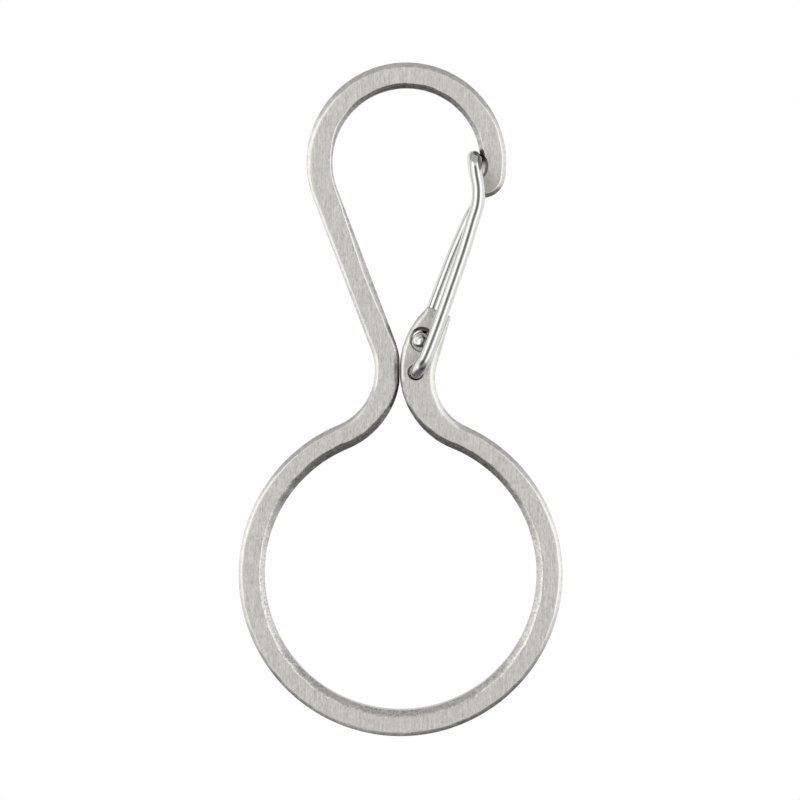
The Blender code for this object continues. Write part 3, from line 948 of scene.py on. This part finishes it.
# Patches of the wire: the peened head with its nub, its painted highlight and painted shade,
# the places at its top end with painted shade where they lie against the nose, and the
# painted shade at the foot of its front leg
NUB = LOOSE_HOLE + Vector((-0.22, -0.14))
PEENED_PATCH = disc(LOOSE_HOLE, COUNTERBORE_RADIUS, 0.05)
NUB_PATCH = disc(NUB, 0.48, 0.4)
NUB_LIT_PATCH = disc(NUB + Vector((-0.22, 0.19)), 0.52, 0.25)
NUB_HIGHLIGHT_PATCH = Patch(NUB + Vector((-0.05, 0.08)), (0.14, 0.22), 0.6)
NUB_SHADE_PATCH = disc(NUB, 0.62, 0.2)
NOSE_SHADE_PATCH = Patch(NOSE_JOINT + Vector((0.44, 0.42)), (0.38, 0.24), 0.6)
NOTCH_SHADE_PATCH = Patch(NOSE_JOINT + Vector((0.62, -0.45)), (0.17, 0.72), 0.7)
FOOT_SHADE_PATCH = Patch(PIVOT + Vector((0.64, 0.80)), (0.30, 0.42), 0.7)


def principled(name, anisotropic=0.0):
    material = bpy.data.materials.new(name)
    material.use_nodes = True
    shader = material.node_tree.nodes["Principled BSDF"]
    shader.inputs["Metallic"].default_value = 1.0
    shader.inputs["Anisotropic"].default_value = anisotropic
    return material, shader, Nodes(material.node_tree)


def frame_steel():
    """Steel brushed up and down on its flat faces, with tumbled, mottled edges."""
    material, shader, n = principled("brushed_frame_steel", 0.5)
    coordinates = n.add("ShaderNodeTexCoord")
    spot = coordinates.outputs["Object"]
    normal = n.add("ShaderNodeSeparateXYZ", inputs={"Vector": coordinates.outputs["Normal"]})

    # How squarely the steel faces the front or the back, from 1 on the flat faces to 0 on
    # the side, and from it the masks of the bevels, of the painted highlight along their
    # border and of the side
    facing = n.math("ABSOLUTE", normal.outputs["Y"])
    edge = n.remap(facing, 0.990, 0.955, smooth=True)
    border_start = n.remap(facing, 0.999, 0.985, smooth=True)
    border_end = n.remap(facing, 0.93, 0.97, smooth=True)
    border_highlight = n.times(border_start, border_end)
    side = n.remap(facing, 0.20, 0.04)

    # The noises that brush, cloud and pit it
    hairline = n.noise(spot, (8.0, 1.5, 1.7), 2.0, 0.55)
    stroke = n.noise(spot, (4.2, 0.8, 0.34), 2.0)
    cloud = n.noise(spot, (0.22, 0.3, 0.13), 3.0)
    mottle = n.noise(spot, (2.2, 2.2, 2.2), 3.0, 0.62)
    speckle = n.noise(spot, (4.6, 4.6, 4.6), 2.0, 0.6)
    pits = n.noise(spot, (6.0, 6.0, 6.0), 2.0)
    brushed = n.plus(n.times(hairline, 0.50), n.times(stroke, 0.30))
    brushed = n.plus(brushed, n.times(pits, 0.20))
    worn_cloud = n.remap(cloud, 0.48, 0.62, 0.0, 0.25, smooth=True)
    worn = n.plus(n.times(n.near(spot, EYE_PATCH), 0.5), worn_cloud)

    # The flat faces, darker and warmer round the nose
    face_tone = n.remap(brushed, 0.36, 0.64)
    face_colour = n.mix(face_tone, steel_grey(FACE_DARK), steel_grey(FACE_LIGHT))
    clouded = n.remap(cloud, 0.3, 0.7, 0.0, 0.2)
    face_colour = n.mix(clouded, face_colour, steel_grey(FACE_CLOUD))
    nose_tint = n.times(n.near(spot, NOSE_TINT_PATCH), 0.5)
    face_colour = n.mix(nose_tint, face_colour, NOSE_TINT_COLOUR)

    # The bevels, speckled where they are worn, with shade painted on them at the throat of the
    # ring
    edge_tone = n.remap(mottle, 0.34, 0.66)
    edge_colour = n.mix(edge_tone, steel_grey(EDGE_DARK), steel_grey(EDGE_LIGHT))
    speckled = n.times(n.remap(speckle, 0.54, 0.42), worn)
    edge_colour = n.mix(speckled, edge_colour, steel_grey(SPECKLE_TONE))
    throat_shade = n.times(n.near(spot, THROAT_SHADE_PATCH), n.remap(mottle, 0.6, 0.4, 0.35, 0.75))
    edge_colour = n.mix(throat_shade, edge_colour, steel_grey(THROAT_SHADE_TONE))
    colour = n.mix(edge, face_colour, edge_colour)
    # A thin painted highlight along the bevels' border with the flat face
    colour = n.mix(n.times(border_highlight, 0.2), colour, grey(BORDER_HIGHLIGHT_TONE))

    # Painted shade on the side and, mottled, along the steep rim
    colour = n.mix(n.times(side, 0.7), colour, steel_grey(SIDE_SHADE_TONE))
    rim = n.times(n.remap(facing, 0.70, 0.35), n.remap(side, 0.0, 1.0, 1.0, 0.35))
    rim = n.times(rim, n.remap(mottle, 0.66, 0.42, 0.15, 0.90))
    colour = n.mix(rim, colour, steel_grey(RIM_SHADE_TONE))

    # The counterbore's wall, with light painted on it at the bottom and shade at the top away
    # from the head, the painted shade in the front pin's hole and in the notch round the spot
    # left clear for its glint, and the painted shade at the slit
    counterbore = n.near(spot, COUNTERBORE_PATCH)
    top = n.near(spot, COUNTERBORE_TOP_PATCH)
    wall = n.times(n.without(counterbore, top), n.remap(facing, 0.90, 0.70))
    colour = n.mix(wall, colour, steel_grey(WALL_LIGHT_TONE))
    top_shade = n.times(counterbore, n.without(top, n.near(spot, HEAD_UNSHADED_PATCH)))
    hollow_shade = n.math("MAXIMUM", n.near(spot, PIVOT_PATCH), top_shade)
    scoop = n.without(n.near(spot, SCOOP_PATCH), n.near(spot, SCOOP_UNSHADED_PATCH))
    hollow_shade = n.math("MAXIMUM", hollow_shade, scoop)
    colour = n.mix(n.times(hollow_shade, 0.85), colour, grey(HOLLOW_SHADE_TONE, 0.05))
    slit_shade = n.times(n.near(spot, SLIT_SHADE_PATCH), n.remap(mottle, 0.25, 0.55, 0.35, 0.9))
    n.feed(shader.inputs["Base Color"], n.mix(slit_shade, colour, SLIT_SHADE_COLOUR))

    face_roughness = n.remap(brushed, 0.3, 0.7, 0.46, 0.54)
    edge_roughness = n.remap(mottle, 0.3, 0.7, 0.22, 0.38)
    difference = n.math("SUBTRACT", edge_roughness, face_roughness)
    n.feed(shader.inputs["Roughness"], n.plus(face_roughness, n.times(difference, edge)))

    along_x = n.add("ShaderNodeCombineXYZ", inputs={"X": 1.0})
    n.feed(shader.inputs["Tangent"], along_x.outputs[0])

    flat = n.math("SUBTRACT", 1.0, edge)
    scratches = n.times(flat, n.times(hairline, 0.28))
    lumps = n.plus(n.times(mottle, 0.8), n.times(pits, 0.35))
    lumps = n.plus(lumps, n.times(speckle, n.times(worn, 1.2)))
    relief = n.plus(scratches, n.times(edge, lumps))
    n.bump(shader, relief, FRAME_RELIEF_DEPTH, FRAME_RELIEF_STRENGTH)
    return material


def wire_steel():
    """Smooth drawn wire with faint lines along it and a duller film here and there."""
    material, shader, n = principled("drawn_wire_steel")
    spot = n.add("ShaderNodeTexCoord").outputs["Object"]
    line = n.noise(spot, (4.0, 4.0, 0.25), 2.0)
    film = n.noise(spot, (0.5, 0.5, 0.35), 3.0)
    blows = n.noise(spot, (1.3, 1.3, 1.3), 1.0)
    line_tone = n.remap(line, 0.3, 0.7)
    colour = n.mix(line_tone, grey(WIRE_DARK, 0.006), grey(WIRE_LIGHT, 0.004))

    # The peened head and its nub, and the painted shade in a crescent below and right of the
    # nub
    depth = n.add("ShaderNodeSeparateXYZ", inputs={"Vector": spot}).outputs["Y"]
    peened = n.near(spot, PEENED_PATCH)
    for start, end in (HEAD_BACK_FADE, HEAD_FRONT_FADE):
        peened = n.times(peened, n.remap(depth, start * MM, end * MM))
    nub = n.times(peened, n.near(spot, NUB_PATCH))
    nub_shade = n.without(n.near(spot, NUB_SHADE_PATCH), n.near(spot, NUB_LIT_PATCH))
    nub_shade = n.times(nub_shade, n.times(peened, 0.85))
    flange = n.times(n.math("SUBTRACT", peened, nub), 0.6)

    # Painted shade where its top end lies against the nose, and at the front leg's foot
    nose_shade = n.math("MAXIMUM", n.near(spot, NOSE_SHADE_PATCH), n.near(spot, NOTCH_SHADE_PATCH))
    colour = n.mix(n.times(nose_shade, 0.85), colour, steel_grey(NOSE_SHADE_TONE))
    foot_shade = n.times(n.near(spot, FOOT_SHADE_PATCH), 0.7)
    colour = n.mix(foot_shade, colour, steel_grey(FOOT_SHADE_TONE))
    colour = n.mix(flange, colour, steel_grey(FLANGE_TONE))
    # A painted highlight on the nub, then the painted shade of its crescent
    nub_highlight = n.times(peened, n.near(spot, NUB_HIGHLIGHT_PATCH))
    colour = n.mix(nub_highlight, colour, grey(NUB_HIGHLIGHT_TONE))
    n.feed(shader.inputs["Base Color"], n.mix(nub_shade, colour, steel_grey(NUB_SHADE_TONE)))
    roughness = n.blend(peened, n.remap(film, 0.3, 0.7, 0.10, 0.20), 0.28)
    n.feed(shader.inputs["Roughness"], roughness)

    relief = n.plus(line, n.times(n.times(blows, peened), BLOW_RELIEF))
    lean = n.vector_math("DOT_PRODUCT", spot, [slope / MM for slope in NUB_LEAN])
    relief = n.plus(relief, n.times(nub, lean.outputs["Value"]))
    n.bump(shader, relief, WIRE_RELIEF_DEPTH, WIRE_RELIEF_STRENGTH)
    return material


def make_lamp(name, side):
    """A tall, soft lamp in front of the part, on one side of it."""
    light = bpy.data.lights.new(name, "AREA")
    light.shape = "RECTANGLE"
    light.size = LAMP_WIDTH
    light.size_y = LAMP_LENGTH
    light.energy = LAMP_POWER
    place = Vector((side * LAMP_SIDE, -LAMP_FRONT, LAMP_HEIGHT))
    lamp = bpy.data.objects.new(name, light)
    lamp.location = place
    lamp.rotation_euler = (Vector(LAMP_TARGET) - place).to_track_quat("-Z", "Y").to_euler()
    bpy.context.scene.collection.objects.link(lamp)


def make_world():
    """White to the camera. In reflections it is bright all round, dimmer above, and dark
    below and in the small spot behind the camera."""
    world = bpy.data.worlds.new("studio")
    bpy.context.scene.world = world
    world.use_nodes = True
    world.node_tree.nodes.clear()
    n = Nodes(world.node_tree)
    generated = n.add("ShaderNodeTexCoord").outputs["Generated"]
    direction = n.add("ShaderNodeSeparateXYZ", inputs={"Vector": generated})
    away = direction.outputs["Y"]
    height = direction.outputs["Z"]
    level = n.remap(away, *BACK_FADE, ROOM_FRONT, ROOM_BACK, smooth=True)
    level = n.blend(n.remap(away, *CAMERA_FADE, smooth=True), level, ROOM_CAMERA)
    level = n.blend(n.remap(height, *ABOVE_FADE, smooth=True), level, ROOM_ABOVE)
    level = n.blend(n.remap(height, *BELOW_FADE, smooth=True), level, ROOM_BELOW)
    seen = n.add("ShaderNodeLightPath").outputs["Is Camera Ray"]
    inputs = {"Color": (1.0, 1.0, 1.0, 1.0), "Strength": n.blend(seen, level, 1.0)}
    background = n.add("ShaderNodeBackground", inputs=inputs)
    output = n.add("ShaderNodeOutputWorld")
    n.feed(output.inputs["Surface"], background.outputs[0])


def make_camera():
    """Almost straight on, from far enough that the ring's inner wall only just shows."""
    data = bpy.data.cameras.new("camera")
    data.sensor_width = SENSOR_WIDTH
    data.lens = SENSOR_WIDTH * DISTANCE / PICTURE_WIDTH
    data.clip_start = 0.01
    data.clip_end = 10.0
    camera = bpy.data.objects.new("camera", data)
    target = Vector((SLIT_X + AIM_RIGHT * PIXEL, 0, RING_CENTRE.y + AIM_UP * PIXEL))
    back = Vector((0, -math.cos(LOOK_DOWN), math.sin(LOOK_DOWN)))
    camera.location = (target + DISTANCE * PIXEL * back) * MM
    camera.rotation_euler = (math.pi / 2 - LOOK_DOWN, 0.0, 0.0)
    bpy.context.scene.collection.objects.link(camera)
    bpy.context.scene.camera = camera


def make_floor():
    """A pale floor well below the hanging part, which fades into the white room."""
    directions = ((-1, -1), (1, -1), (1, 1), (-1, 1))
    corners = [(x * FLOOR_REACH, y * FLOOR_REACH, FLOOR_HEIGHT) for x, y in directions]
    mesh = bpy.data.meshes.new("floor")
    mesh.from_pydata(corners, [], [(0, 1, 2, 3)])
    floor = link("floor", mesh)
    floor.visible_glossy = False
    material = bpy.data.materials.new("pale_floor")
    material.use_nodes = True
    shader = material.node_tree.nodes["Principled BSDF"]
    shader.inputs["Base Color"].default_value = grey(FLOOR_TONE)
    shader.inputs["Roughness"].default_value = FLOOR_ROUGHNESS
    n = Nodes(material.node_tree)
    spot = n.add("ShaderNodeTexCoord").outputs["Object"]
    flat = n.vector_math("MULTIPLY", spot, (1.0, 1.0, 0.0))
    away = n.vector_math("LENGTH", flat.outputs[0]).outputs["Value"]
    start, end = (share * FLOOR_REACH for share in FLOOR_FADE)
    n.feed(shader.inputs["Alpha"], n.remap(away, start, end, 1.0, 0.0, smooth=True))
    mesh.materials.append(material)


bar = make_bar()
bar.data.materials.clear()
bar.data.materials.append(frame_steel())
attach(bar, "frame")
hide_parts("frame")

wire_finish = wire_steel()
wire_front, wire_cross, wire_rear = make_wire()
for piece in (wire_front, wire_cross, wire_rear):
    piece.data.materials.append(wire_finish)
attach(wire_front, "gate_front")
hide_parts("gate_front_leg")
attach(wire_rear, "gate_rear")
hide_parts("gate_rear_leg")
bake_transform(wire_cross)
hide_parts("gate_front_leg", "gate_rear_leg")

make_floor()
make_world()
make_camera()
make_lamp("left_softbox", -1)
make_lamp("right_softbox", 1)

bpy.context.scene.view_settings.view_transform = "Standard"
